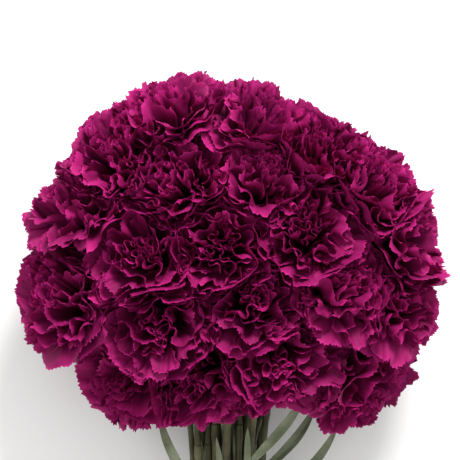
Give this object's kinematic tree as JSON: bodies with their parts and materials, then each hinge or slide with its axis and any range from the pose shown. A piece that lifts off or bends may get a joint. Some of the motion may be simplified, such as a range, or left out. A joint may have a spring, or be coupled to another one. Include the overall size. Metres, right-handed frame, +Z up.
{
  "type": "bunch of carnations",
  "caption": "Bunch of ruffled magenta-purple carnations with a domed head, long green stems, a few narrow leaves and a rubber band, lying on its side.",
  "frame": {"origin": "centre of the lying bunch's footprint, on the surface it lies on", "axes": "+Y along the bunch from the cut ends to the flower heads, +Z up"},
  "size_m": [0.275, 0.4868, 0.1528],
  "materials": {
    "petals": "soft matte petal",
    "stalks": "smooth, waxy grey-green",
    "leaves": "waxy, bluish grey-green",
    "rubber": "satin tan rubber"
  },
  "bodies": {
    "root": {"bloom_01": "petals", "stem_01": "stalks", "bloom_02": "petals", "stem_02": "stalks", "bloom_03": "petals", "stem_03": "stalks", "bloom_04": "petals", "stem_04": "stalks", "bloom_05": "petals", "stem_05": "stalks", "bloom_06": "petals", "stem_06": "stalks", "bloom_07": "petals", "stem_07": "stalks", "bloom_08": "petals", "stem_08": "stalks", "bloom_09": "petals", "stem_09": "stalks", "bloom_10": "petals", "stem_10": "stalks", "bloom_11": "petals", "stem_11": "stalks", "bloom_12": "petals", "stem_12": "stalks", "bloom_13": "petals", "stem_13": "stalks", "bloom_14": "petals", "stem_14": "stalks", "bloom_15": "petals", "stem_15": "stalks", "bloom_16": "petals", "stem_16": "stalks", "bloom_17": "petals", "stem_17": "stalks", "bloom_18": "petals", "stem_18": "stalks", "bloom_19": "petals", "stem_19": "stalks", "bloom_20": "petals", "stem_20": "stalks", "bloom_21": "petals", "stem_21": "stalks", "bloom_22": "petals", "stem_22": "stalks", "bloom_23": "petals", "stem_23": "stalks", "bloom_24": "petals", "stem_24": "stalks", "bloom_25": "petals", "stem_25": "stalks", "bloom_26": "petals", "stem_26": "stalks", "bloom_27": "petals", "stem_27": "stalks", "leaf_1": "leaves", "leaf_2": "leaves", "leaf_3": "leaves", "leaf_4": "leaves", "leaf_5": "leaves", "rubber_band": "rubber"}
  },
  "joints": []
}
